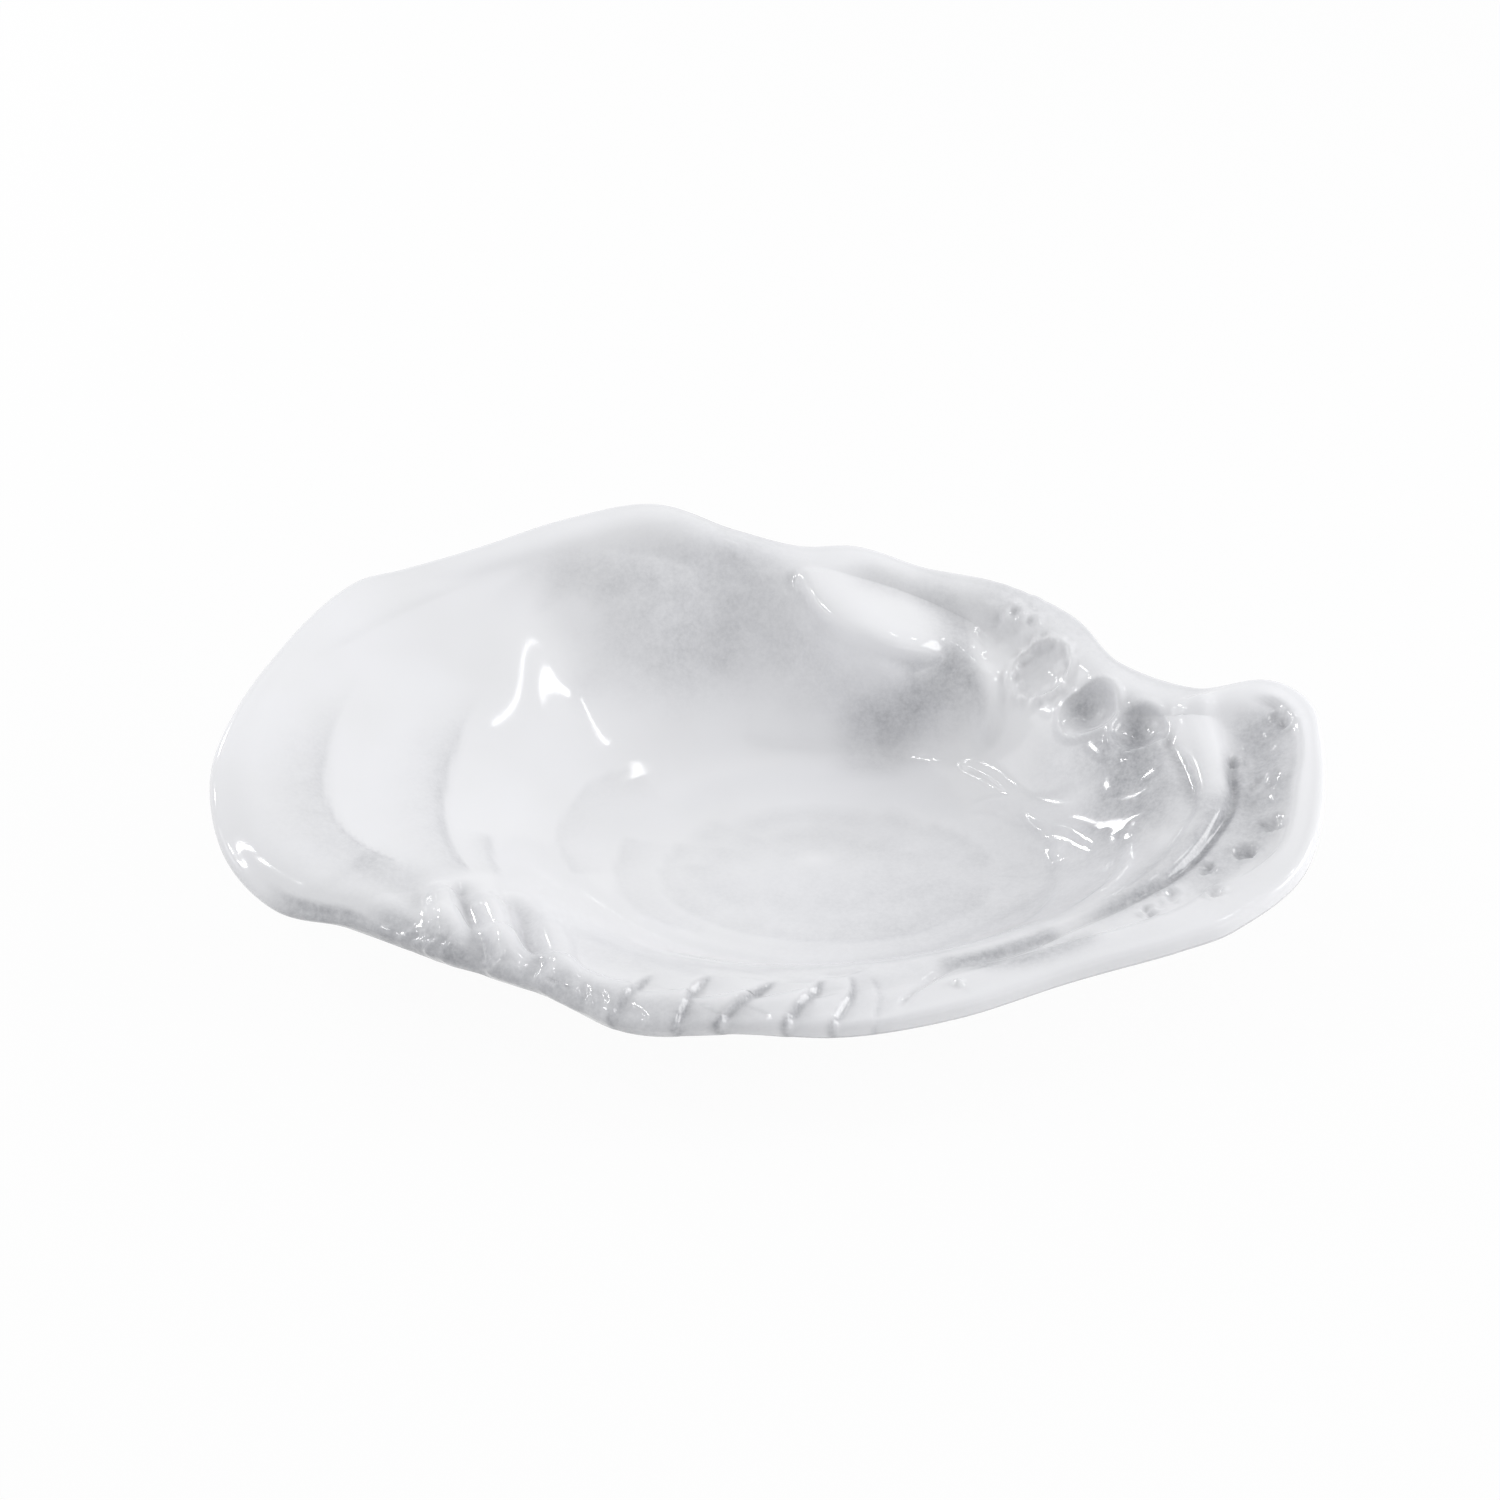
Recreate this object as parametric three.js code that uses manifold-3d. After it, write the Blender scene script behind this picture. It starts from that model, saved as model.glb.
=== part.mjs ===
// Serving bowl in the free form of an open oyster shell: a fired clay body on an oval foot ring, and the gloss
// glaze that covers its food side and wraps the lip. Millimetres, +Z up, with the origin on the table under the
// middle of the bowl. +X runs along the bowl, and +Y points to the high back wall.
import * as THREE from 'three';
import { mergeVertices } from 'three/addons/utils/BufferGeometryUtils.js';
import Module from 'manifold-3d';

// Driving dimensions of the bowl
const BOWL_LENGTH = 302; // over the lip, along X
const BOWL_WIDTH = 188; // over the lip, along Y
const PEAK_HEIGHT = 63; // from the table to the top of the back peak
const WALL = 6.5; // clay and glaze together, which is also the thickness of the rounded lip
const GLAZE = 0.5; // thickness of the glaze
const GLAZE_SEAT = 0.1; // clearance between the glaze and the clay
const GLAZE_WRAP = 120; // degrees of the lip's half round that the glaze goes round
const LIP_SQUARENESS = 2.6; // power of the lip's half round: 2 is a circle, and more is squarer
const BROW_INSET = 7; // from the rim to the brow, where the top of the lip starts to roll down
const BROW_LIMIT = 0.6; // the brow's largest share of the way from the rim to the lip

// Driving dimensions of the floor and the foot ring
const FLOOR_LENGTH = 128;
const FLOOR_WIDTH = 98;
const FLOOR_RISE = 3.2; // from the floor's middle to its edge
const FLAT_SHARE = 0.6; // the almost flat middle, as a share of the floor oval
const FLAT_RISE = 0.35; // from the floor's middle to the edge of that flat
const FLOOR_BACKSET = 1; // the floor's middle, along Y from the origin of the drawing
const FOOT_LENGTH = 112;
const FOOT_WIDTH = 74;
const FOOT_BAND = 6; // width of the ring that stands on the table
const FOOT_HEIGHT = 2.75; // from the table to the underside of the floor's middle
const FOOT_ROUND = 0.8; // bevel on the ring's edges

// Heights and depths of the relief on the food side
const TERRACE_RISE = 2.8;
const CREASE_RISE = 1.2;
const PLEAT_RISES = [3.0, 2.4, 1.6];
const PLEAT_DIP = 2.1;
const FLUTE_RISES = [1.5, 1.9, 2.0, 2.0, 1.6, 0.8];
const VALLEY_DEPTH = 3.5; // between the left wall and the hollow
const NICHE_DEPTH = 3.0; // right part of the hollow
const LEDGE_RISE = 2.2;
const FACET_RISE = 0.6;
const POCKET_DEPTH = 3.0; // under the ledge
const CORNER_RISE = 2.4;
const PIT_DEPTH = 4.0;
const SHALLOW_PIT_DEPTH = 2.2; // the pit nearest the ledge
const PIT_STEEPNESS = 1.4; // power of a pit's side
const SPINE_RISES = [2.6, 1.2]; // at the back edge and at the front
const GROOVE_DEPTH = 1.6;
const DISH_DEPTH = 1.5; // between the spine and the border
const BORDER_RISE = 1.4;

// Guide rings, drawn over the floor's middle as x, y and the height over the floor's middle surface. Each runs
// counterclockwise from the right end. The lip, shoulder and brow have a point for every second rim point.
const RIM = [
  [135, 11, 33], [134, 27, 34], [125, 35, 35], [106, 38, 30], [85, 47, 31], [73, 64, 34], [54, 73, 39],
  [32, 81, 41], [13, 87, 44], [-3, 87, 44], [-23, 90, 48], [-45, 94, 54], [-69, 93, 50], [-91, 88, 45],
  [-115, 84, 39], [-129, 81, 36], [-145, 58, 34], [-157, 24, 33], [-160, -2, 31], [-152, -25, 26],
  [-139, -39, 21.5], [-121, -45, 21], [-97, -59, 22], [-70, -73, 23], [-48, -86, 22], [-20, -87, 23],
  [7, -87, 23], [35, -81, 24], [63, -69, 25], [92, -60, 27], [107, -52, 28], [125, -31, 30],
];
const LIP = [
  [121, 5, 28], [113, 25, 29], [83, 37, 26], [52, 66, 32], [17, 78, 40], [-18, 80, 45],
  [-61, 84, 48], [-103, 76, 38.5], [-123, 51, 31], [-132, 2, 26], [-118, -34, 24], [-88, -52, 22.5],
  [-46, -78, 22.5], [7, -79, 23], [60, -63, 24], [101, -43, 26],
];
const SHOULDER = [
  [102, -12, 26], [96, 10, 26], [80, 26, 22], [52, 53, 25], [19, 54, 35.5], [-10, 74, 39],
  [-50, 76, 43], [-82, 63, 34], [-95, 36, 24], [-98, 6, 19.5], [-91, -23, 18], [-76, -37, 17],
  [-44, -62, 19.5], [8, -68, 21.5], [57, -55, 23], [90, -34, 25],
];
const BROW_RISE = [-0.6, -0.4, 0.3, -1.5, -0.8, 0.3, 0.3, 0, 0, 0.6, 3.4, 2, 1.4, 0.6, 0.3, -0.4]; // over the rim

// Facets: stations along each span of the rim, and rows across each span of a section, from the floor to the rim
const FLUTE_SPANS = new Set([23, 24, 25, 26]);
const FLUTE_STATIONS = 6;
const PLEAT_SPANS = new Set([21, 22]);
const PLEAT_STATIONS = 8;
const PIT_SPANS = new Set([3, 4]);
const PIT_STATIONS = 6;
const RIGHT_END_SPANS = new Set([0, 1, 2, 5, 28, 29, 30, 31]);
const RIGHT_END_STATIONS = 3;
const PLAIN_STATIONS = 2;
const TOP_ROWS = [1, 2, 4, 4, 2, 1];
const UNDER_ROWS = [1, 1, 2, 1, 1, 1];
const LIP_STEPS = 6;
const PATH_STEPS = 48;
const OVAL_STEPS = 24;
const NUDGE = 1e-3; // parameter step for the surface's slopes

const FLOOR_MIDDLE = FOOT_HEIGHT + WALL / 2;
const CLAY_HALF = WALL / 2 - GLAZE - GLAZE_SEAT;

const wasm = await Module();
wasm.setup();

const vector = ([x, y, z = 0]) => new THREE.Vector3(x, y, z);
const ringCurve = (points) => new THREE.CatmullRomCurve3(points.map(vector), true, 'centripetal');
const rimCurve = ringCurve(RIM);
const lipCurve = ringCurve(LIP);
const shoulderCurve = ringCurve(SHOULDER);
const smoothstep = (value) => THREE.MathUtils.smoothstep(value, 0, 1);

// Stretch that brings the drawn rim to the bowl's length, width and height
const drawn = new THREE.Box3().setFromPoints(rimCurve.getPoints(RIM.length * PATH_STEPS));
const stretch = new THREE.Vector3(
  (BOWL_LENGTH - WALL) / (drawn.max.x - drawn.min.x),
  (BOWL_WIDTH - WALL) / (drawn.max.y - drawn.min.y),
  (PEAK_HEIGHT - WALL / 2 - FLOOR_MIDDLE) / drawn.max.z,
);

function ringPoint(curve, station) {
  const point = curve.getPoint(station).multiply(stretch);
  point.z += FLOOR_MIDDLE;
  return point;
}

// Point of a floor oval in the direction of the section, at a share of the oval's size
function floorPoint(angle, share, rise) {
  const x = (share * FLOOR_LENGTH * Math.cos(angle)) / 2;
  const y = FLOOR_BACKSET + (share * FLOOR_WIDTH * Math.sin(angle)) / 2;
  return new THREE.Vector3(x, y, FLOOR_MIDDLE + rise);
}

// Point of the brow: a fixed way inside the rim, on the line to the lip, at its own height over the rim
function browPoint(rim, lip, station) {
  const place = station * BROW_RISE.length;
  const before = Math.floor(place);
  const rises = [before, before + 1].map((index) => BROW_RISE[index % BROW_RISE.length]);
  const inset = Math.min(BROW_INSET / Math.hypot(lip.x - rim.x, lip.y - rim.y), BROW_LIMIT);
  const brow = rim.clone().lerp(lip, inset);
  brow.z = rim.z + THREE.MathUtils.lerp(rises[0], rises[1], place - before);
  return brow;
}

// Section of the wall's middle surface, from the floor's middle over the shoulder, lip and brow to the rim
function sectionCurve(station) {
  const shoulder = ringPoint(shoulderCurve, station);
  const lip = ringPoint(lipCurve, station);
  const rim = ringPoint(rimCurve, station);
  const angle = Math.atan2((shoulder.y - FLOOR_BACKSET) / FLOOR_WIDTH, shoulder.x / FLOOR_LENGTH);
  const points = [
    floorPoint(angle, 0, 0),
    floorPoint(angle, FLAT_SHARE, FLAT_RISE),
    floorPoint(angle, 1, FLOOR_RISE),
    shoulder,
    lip,
    browPoint(rim, lip, station),
    rim,
  ];
  return new THREE.CatmullRomCurve3(points, false, 'centripetal');
}

// Place, normal and outward direction of the middle surface at a station and a row
function frameAt(station, row) {
  const section = sectionCurve(station);
  const point = section.getPoint(row);
  const outward = section.getPoint(Math.min(row + NUDGE, 1)).sub(section.getPoint(Math.max(row - NUDGE, 0)));
  const ahead = sectionCurve((station + NUDGE) % 1).getPoint(row);
  const behind = sectionCurve((station - NUDGE + 1) % 1).getPoint(row);
  const around = ahead.sub(behind);
  const normal = new THREE.Vector3().crossVectors(outward, around).normalize();
  return { point, normal, outward: outward.normalize() };
}

// Smooth line of plan points for the relief
const planLine = (points) => new THREE.CatmullRomCurve3(points.map(vector)).getPoints(PATH_STEPS);

// Signed distance from a line, positive on its left, and the place along it from 0 to 1
function besideLine(line, x, y) {
  let nearest = { distance: Infinity, along: 0 };
  for (let index = 1; index < line.length; index += 1) {
    const from = line[index - 1];
    const dx = line[index].x - from.x;
    const dy = line[index].y - from.y;
    const share = THREE.MathUtils.clamp(((x - from.x) * dx + (y - from.y) * dy) / (dx * dx + dy * dy), 0, 1);
    const offX = x - from.x - share * dx;
    const offY = y - from.y - share * dy;
    const distance = Math.hypot(offX, offY);
    if (distance < Math.abs(nearest.distance)) {
      const side = dx * offY - dy * offX < 0 ? -1 : 1;
      nearest = { distance: side * distance, along: (index - 1 + share) / (line.length - 1) };
    }
  }
  return nearest;
}

// Runs from 0 to 1 and back over the given shares at the two ends of a line
const endFade = (along, [start, end]) => smoothstep(along / start) * smoothstep((1 - along) / end);

// Rounded ridge along a line, or a groove where the height is negative. The power squares its back, and the height
// may run from a first to a last value.
function ridge(points, { height, width, fades, power = 2 }) {
  const line = planLine(points);
  const [first, last] = [height].flat();
  return (x, y) => {
    const { distance, along } = besideLine(line, x, y);
    const peak = THREE.MathUtils.lerp(first, last ?? first, smoothstep(along));
    return peak * Math.exp(-(Math.abs(distance / width) ** power)) * endFade(along, fades);
  };
}

// Overlapping layer: the left of the line stands up, the right lies low, and both run out into the wall
function overlap(points, { height, edge, runOut, fades }) {
  const line = planLine(points);
  return (x, y) => {
    const { distance, along } = besideLine(line, x, y);
    const rise = Math.tanh(distance / edge) * Math.exp(-Math.abs(distance) / runOut);
    return height * rise * endFade(along, fades);
  };
}

// Layer that rises on the left of a crease and runs out into the wall, while the right stays as it is
function shingle(points, { height, roll, runOut, fades }) {
  const line = planLine(points);
  return (x, y) => {
    const { distance, along } = besideLine(line, x, y);
    const left = Math.max(distance, 0);
    return height * (1 - Math.exp(-left / roll)) * Math.exp(-left / runOut) * endFade(along, fades);
  };
}

// Round pit
function pit([x0, y0], { radius, depth }) {
  return (x, y) => {
    const share = Math.hypot(x - x0, y - y0) / radius;
    return -depth * Math.max(1 - share ** 2, 0) ** PIT_STEEPNESS;
  };
}

const TERRACES = [
  [[-106, -30], [-116, -26], [-127, -16], [-133, -2], [-134, 12], [-132, 28], [-127, 45]],
  [[-91, -29], [-97, -19], [-101, -5], [-101, 12], [-98, 28], [-92, 46]],
];
const CREASE = [[-143, 45], [-132, 56], [-120, 66], [-106, 73], [-92, 78]];
const PLEATS = [
  [[-100, -32], [-98, -45], [-96, -56], [-94, -66], [-93, -76]],
  [[-89, -34], [-85, -46], [-82, -56], [-80, -68], [-79, -80]],
  [[-73, -39], [-69, -52], [-67, -62], [-65, -82]],
];
const PLEAT_DIPS = [
  [[-95, -31], [-92, -41], [-89, -52], [-87, -62], [-86, -70]],
  [[-81, -33], [-77, -45], [-75, -56], [-72, -66], [-71, -74]],
];
const FLUTES = [
  [[-60, -95], [-52, -85], [-48, -79], [-42, -71]],
  [[-40, -96], [-35, -86], [-32, -78], [-27, -71]],
  [[-34, -97], [-25, -88], [-19, -82], [-10, -74]],
  [[-13, -96], [-7, -87], [-2, -80], [1, -73]],
  [[0, -95], [5, -86], [8, -79], [8, -72]],
  [[13, -94], [14, -86], [15, -80], [13, -72]],
];
const VALLEY = [[-82, 80], [-74, 68], [-64, 54], [-54, 40]];
const NICHE = [[-27, 84], [-25, 70], [-24, 52]];
const LEDGE = [[-5, 80], [-3, 72], [2, 63], [13, 54], [28, 51], [43, 56]];
const FACET = [[0, 64], [-6, 60], [-12, 56], [-18, 50], [-3, 49], [11, 47], [26, 44]];
const POCKET = [[43, 56], [36, 51], [27, 47], [14, 45]];
const CORNER = [[49, 56], [49, 47], [50, 38]];
const SPINE = [[104, 36], [106, 24], [107, 9], [106, -6], [102, -18], [95, -29], [86, -39], [74, -48], [58, -57]];
const GROOVE = [[113, 17], [113, 6], [112, -7], [106, -20], [96, -34], [82, -45], [65, -55], [49, -64], [34, -68]];
const BORDER = [[104, -44], [113, -38], [121, -30], [125, -20], [128, -6], [131, 7], [131, 19], [127, 27], [118, 30]];

const RELIEF = [
  ...TERRACES.map((points) => shingle(points, { height: TERRACE_RISE, roll: 4, runOut: 18, fades: [0.12, 0.33] })),
  shingle(CREASE, { height: CREASE_RISE, roll: 3, runOut: 12, fades: [0.3, 0.4] }),
  ...PLEATS.map((points, index) =>
    ridge(points, { height: PLEAT_RISES[index], width: 4.2, fades: [0.2, 0.02], power: 3 })),
  ...PLEAT_DIPS.map((points) => ridge(points, { height: -PLEAT_DIP, width: 3.1, fades: [0.12, 0.2] })),
  ...FLUTES.map((points, index) =>
    overlap(points, { height: FLUTE_RISES[index], edge: 0.7, runOut: 7, fades: [0.02, 0.3] })),
  ridge(VALLEY, { height: -VALLEY_DEPTH, width: 12, fades: [0.3, 0.35] }),
  ridge(NICHE, { height: -NICHE_DEPTH, width: 12, fades: [0.3, 0.4] }),
  overlap(LEDGE, { height: LEDGE_RISE, edge: 1.8, runOut: 10, fades: [0.12, 0.2] }),
  overlap(FACET, { height: FACET_RISE, edge: 1.2, runOut: 10, fades: [0.15, 0.3] }),
  ridge(POCKET, { height: -POCKET_DEPTH, width: 5, fades: [0.2, 0.4] }),
  ridge(CORNER, { height: CORNER_RISE, width: 3, fades: [0.25, 0.3] }),
  pit([65, 51.5], { radius: 7.4, depth: SHALLOW_PIT_DEPTH }),
  pit([76.8, 36.5], { radius: 7.6, depth: PIT_DEPTH }),
  pit([90, 26.5], { radius: 7.6, depth: PIT_DEPTH }),
  ridge(SPINE, { height: SPINE_RISES, width: 4.4, fades: [0.06, 0.3], power: 3 }),
  ridge(GROOVE, { height: -GROOVE_DEPTH, width: 1.5, fades: [0.12, 0.12] }),
  pit([120, 12], { radius: 10, depth: DISH_DEPTH }),
  pit([119, -9], { radius: 9, depth: DISH_DEPTH }),
  overlap(BORDER, { height: -BORDER_RISE, edge: 1, runOut: 5, fades: [0.25, 0.12] }),
];

function reliefAt(point) {
  const x = point.x / stretch.x;
  const y = point.y / stretch.y;
  return RELIEF.reduce((height, form) => height + form(x, y), 0);
}

// Rows from 0 to 1 with the given number of steps in each equal span
function spread(steps) {
  return steps.flatMap((count, span) =>
    Array.from({ length: count }, (_, step) => (span + (step + 1) / count) / steps.length));
}

function stationsInSpan(span) {
  const counts = [
    [FLUTE_SPANS, FLUTE_STATIONS],
    [PLEAT_SPANS, PLEAT_STATIONS],
    [PIT_SPANS, PIT_STATIONS],
    [RIGHT_END_SPANS, RIGHT_END_STATIONS],
  ];
  const found = counts.find(([spans]) => spans.has(span));
  return found ? found[1] : PLAIN_STATIONS;
}

const stations = spread(RIM.map((_, span) => stationsInSpan(span))).map((place) => place % 1);
const topRows = spread(TOP_ROWS);
const underRows = spread(UNDER_ROWS).slice(0, -1);

// Frames of the wall, worked out once for every row of facets
const topFrames = topRows.map((row) => stations.map((station) => frameAt(station, row)));
const underFrames = underRows.map((row) => stations.map((station) => frameAt(station, row)));
const rimFrames = topFrames.at(-1);
const topRelief = topFrames.map((ring) =>
  ring.map(({ point, normal }) => reliefAt(point.clone().addScaledVector(normal, WALL / 2))));
const rimRelief = topRelief.at(-1);

// Food side at a distance over the middle surface, relief included
function topRings(distance) {
  return topFrames.map((ring, row) =>
    ring.map(({ point, normal }, station) => {
      const height = distance + topRelief[row][station];
      return point.clone().addScaledVector(normal, height);
    }));
}

// Rings round the squared lip, up to an angle of its half round. The relief of the rim dies out on the way.
function lipRings(radius, angles) {
  const power = LIP_SQUARENESS;
  return angles.map((angle) =>
    rimFrames.map(({ point, normal, outward }, station) => {
      const squared = (Math.abs(Math.cos(angle)) ** power + Math.abs(Math.sin(angle)) ** power) ** (-1 / power);
      const reach = squared * (radius + (rimRelief[station] * (1 + Math.cos(angle))) / 2);
      const up = reach * Math.cos(angle);
      const out = reach * Math.sin(angle);
      return point.clone().addScaledVector(normal, up).addScaledVector(outward, out);
    }));
}

function underRings(distance) {
  const rings = underFrames.map((ring) =>
    ring.map(({ point, normal }) => point.clone().addScaledVector(normal, -distance)));
  return rings.reverse();
}

const lipAngles = (total, steps) => Array.from({ length: steps }, (_, step) => (total * (step + 1)) / steps);
const floorPole = (distance) => new THREE.Vector3(0, FLOOR_BACKSET, FLOOR_MIDDLE + distance);

// Closed skin through rings of stations, with a pole at each end. From the turning ring on, the rings run back
// over the rows before it, and their facets are split along the same diagonals.
function skin(startPole, rings, endPole, turningRing) {
  const count = stations.length;
  const points = [startPole, ...rings.flat(), endPole];
  const last = points.length - 1;
  const at = (ring, station) => 1 + ring * count + (station % count);
  const index = [];
  for (let station = 0; station < count; station += 1) {
    index.push(0, at(0, station), at(0, station + 1));
    for (let ring = 0; ring + 1 < rings.length; ring += 1) {
      const [near, far] = [at(ring, station), at(ring + 1, station)];
      const [nearNext, farNext] = [at(ring, station + 1), at(ring + 1, station + 1)];
      const facets = ring < turningRing
        ? [near, far, farNext, near, farNext, nearNext]
        : [near, far, nearNext, far, farNext, nearNext];
      index.push(...facets);
    }
    index.push(at(rings.length - 1, station), last, at(rings.length - 1, station + 1));
  }
  const geometry = new THREE.BufferGeometry().setFromPoints(points);
  geometry.setIndex(index);
  return geometry;
}

function toSolid(geometry) {
  const bare = new THREE.BufferGeometry();
  bare.setAttribute('position', geometry.getAttribute('position'));
  bare.setIndex(geometry.getIndex());
  const merged = mergeVertices(bare);
  const vertProperties = new Float32Array(merged.getAttribute('position').array);
  const triVerts = new Uint32Array(merged.getIndex().array);
  return new wasm.Manifold(new wasm.Mesh({ numProp: 3, vertProperties, triVerts }));
}

function toGeometry(solid) {
  const { vertProperties, triVerts } = solid.getMesh();
  const geometry = new THREE.BufferGeometry();
  geometry.setAttribute('position', new THREE.BufferAttribute(vertProperties, 3));
  geometry.setIndex(new THREE.BufferAttribute(triVerts, 1));
  return geometry;
}

// Oval foot ring with bevelled edges, reaching up into the middle of the wall
function footRing() {
  const oval = new THREE.Shape();
  oval.absellipse(0, FLOOR_BACKSET, FOOT_LENGTH / 2, FOOT_WIDTH / 2, 0, 2 * Math.PI);
  const hole = new THREE.Path();
  hole.absellipse(0, FLOOR_BACKSET, FOOT_LENGTH / 2 - FOOT_BAND, FOOT_WIDTH / 2 - FOOT_BAND, 0, 2 * Math.PI);
  oval.holes.push(hole);
  const height = FLOOR_MIDDLE + FLOOR_RISE / 2;
  const geometry = new THREE.ExtrudeGeometry(oval, {
    depth: height - 2 * FOOT_ROUND,
    curveSegments: OVAL_STEPS,
    bevelEnabled: true,
    bevelSegments: 1,
    bevelSize: FOOT_ROUND,
    bevelThickness: FOOT_ROUND,
    bevelOffset: -FOOT_ROUND,
  });
  return geometry.translate(0, 0, FOOT_ROUND);
}

function bowlBody() {
  const halfRound = lipAngles(Math.PI, LIP_STEPS);
  const rings = [...topRings(CLAY_HALF), ...lipRings(CLAY_HALF, halfRound), ...underRings(CLAY_HALF)];
  const wall = skin(floorPole(CLAY_HALF), rings, floorPole(-CLAY_HALF), topFrames.length + LIP_STEPS);
  const geometry = toGeometry(toSolid(wall).add(toSolid(footRing())));
  const material = new THREE.MeshStandardMaterial({ color: 0xe9e8e4, roughness: 0.55, metalness: 0 });
  const mesh = new THREE.Mesh(geometry, material);
  mesh.name = 'bowl_body';
  return mesh;
}

function glazeCoat() {
  const wrap = lipAngles(THREE.MathUtils.degToRad(GLAZE_WRAP), Math.round((LIP_STEPS * GLAZE_WRAP) / 180));
  const inside = CLAY_HALF + GLAZE_SEAT;
  const outer = [...topRings(WALL / 2), ...lipRings(WALL / 2, wrap)];
  const inner = [...topRings(inside), ...lipRings(inside, wrap)];
  const geometry = skin(floorPole(WALL / 2), [...outer, ...inner.reverse()], floorPole(inside), outer.length);
  const material = new THREE.MeshStandardMaterial({ color: 0xeeeef0, roughness: 0.12, metalness: 0 });
  const mesh = new THREE.Mesh(geometry, material);
  mesh.name = 'glaze_coat';
  return mesh;
}

const bowl = new THREE.Group();
bowl.add(bowlBody(), glazeCoat());
const middle = new THREE.Box3().setFromObject(bowl).getCenter(new THREE.Vector3());
bowl.position.set(-middle.x, -middle.y, 0);

export default bowl;
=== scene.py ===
"""Serving bowl in the free form of an open oyster shell: gloss white glaze over a fired clay body.

Each surface is a grid of two parameters: the station, from 0 to 1 round the rim, and the row, from 0 at the
middle of the floor to 1 at the rim. Sizes are in millimetres, and become metres when a mesh is made.
"""
import math

import bpy
import numpy as np
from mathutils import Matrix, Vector

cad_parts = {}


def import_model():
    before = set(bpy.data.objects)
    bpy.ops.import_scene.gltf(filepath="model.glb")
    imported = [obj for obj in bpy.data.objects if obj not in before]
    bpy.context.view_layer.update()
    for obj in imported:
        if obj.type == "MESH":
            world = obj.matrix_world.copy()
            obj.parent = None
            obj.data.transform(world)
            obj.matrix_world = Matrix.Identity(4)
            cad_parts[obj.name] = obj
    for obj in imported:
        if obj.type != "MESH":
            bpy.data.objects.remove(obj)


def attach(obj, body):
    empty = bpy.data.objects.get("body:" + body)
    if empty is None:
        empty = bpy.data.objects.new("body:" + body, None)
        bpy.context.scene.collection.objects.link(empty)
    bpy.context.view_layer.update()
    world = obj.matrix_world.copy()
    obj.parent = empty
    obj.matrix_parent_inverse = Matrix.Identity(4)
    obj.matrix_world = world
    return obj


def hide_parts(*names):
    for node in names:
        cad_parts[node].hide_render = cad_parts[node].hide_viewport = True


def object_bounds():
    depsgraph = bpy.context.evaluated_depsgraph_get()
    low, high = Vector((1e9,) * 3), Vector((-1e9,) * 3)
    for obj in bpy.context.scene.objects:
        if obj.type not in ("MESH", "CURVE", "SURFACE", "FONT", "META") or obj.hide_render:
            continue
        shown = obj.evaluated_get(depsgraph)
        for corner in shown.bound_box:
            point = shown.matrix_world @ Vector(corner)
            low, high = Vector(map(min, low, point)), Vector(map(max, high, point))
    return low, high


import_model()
cad_low, cad_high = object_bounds()

MM = 0.001
TINY = 1e-6
BOWL_LENGTH, BOWL_WIDTH, PEAK_HEIGHT = (cad_high - cad_low) / MM

# Wall, lip and glaze. The brow's limit is a share of the way from the rim to the lip, and the seat is the
# room between the glaze and the clay.
WALL = 6.5
LIP_SQUARENESS = 3.4
GLAZE = 0.8
GLAZE_FEATHER = 0.05
GLAZE_WRAP = math.radians(120)
GLAZE_THINS_FROM = math.radians(80)
BROW_INSET = 7.0
BROW_LIMIT = 0.6
SEAT = 0.05

# Pooled glaze and painted shade: where the painted shade of the steep back wall begins in y, and how the
# grey of recesses in the relief fills, as gathered glaze and painted shade
BACK_WALL_FROM = 34.0
BACK_WALL_RUN = 10.0
POOL_AND_SHADE_EDGE = 1.6
RECESS_FROM = 0.15
RECESS_DEPTH = 3.5
RECESS_SHARE = 0.45

# Floor and foot ring
FLOOR_HALF = np.array([64.0, 49.0])
FLOOR_BACKSET = 1.0
FLOOR_RISE = 3.2
MIDDLE_SHARE = 1e-3
FLAT_SHARE = 0.6
FLAT_RISE = 0.35
FOOT_HEIGHT = 2.75
FOOT_HALF = np.array([53.0, 34.0])
FOOT_BAND = 6.0
FOOT_ROUND = 1.0
BARE_UP_TO = 0.6
BARE_FADE = 0.6
FLOOR_MIDDLE = FOOT_HEIGHT + WALL / 2

# Guide rings as x, y and the height over the floor's middle, counterclockwise from the right end.
# The lip, shoulder and brow have one point for every second point of the rim. For the brow, only its rise
# over the rim is given.
RIM = [
    (135, 11, 33), (134, 27, 34), (125, 35, 35), (106, 38, 30), (85, 48, 31.5), (73, 65, 34.8),
    (54, 74, 39.8), (32, 81, 41), (13, 87, 44), (-3, 87, 44), (-23, 90, 48), (-45, 94, 54),
    (-69, 93, 50), (-91, 88, 45), (-115, 84, 39), (-129, 81, 36), (-145, 58, 34), (-157, 24, 33),
    (-160, -2, 31), (-153, -26.5, 26), (-139, -40, 21.5), (-121, -46, 21), (-97, -58, 22),
    (-70, -71.5, 23), (-48, -84.5, 22), (-20, -86, 23), (7, -87, 23), (35, -81, 24),
    (63, -69, 25), (92, -60, 27), (107, -52, 28), (126, -32.5, 30),
]
LIP = [
    (121, 5, 28), (113, 25, 29), (83, 37, 26), (52, 66, 32), (17, 78, 40), (-18, 80, 45),
    (-61, 84, 48), (-103, 76, 38.5), (-123, 51, 31), (-132, 2, 26), (-118, -34, 24), (-88, -52, 22.5),
    (-46, -78, 22.5), (7, -79, 23), (60, -63, 24), (101, -43, 26),
]
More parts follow.
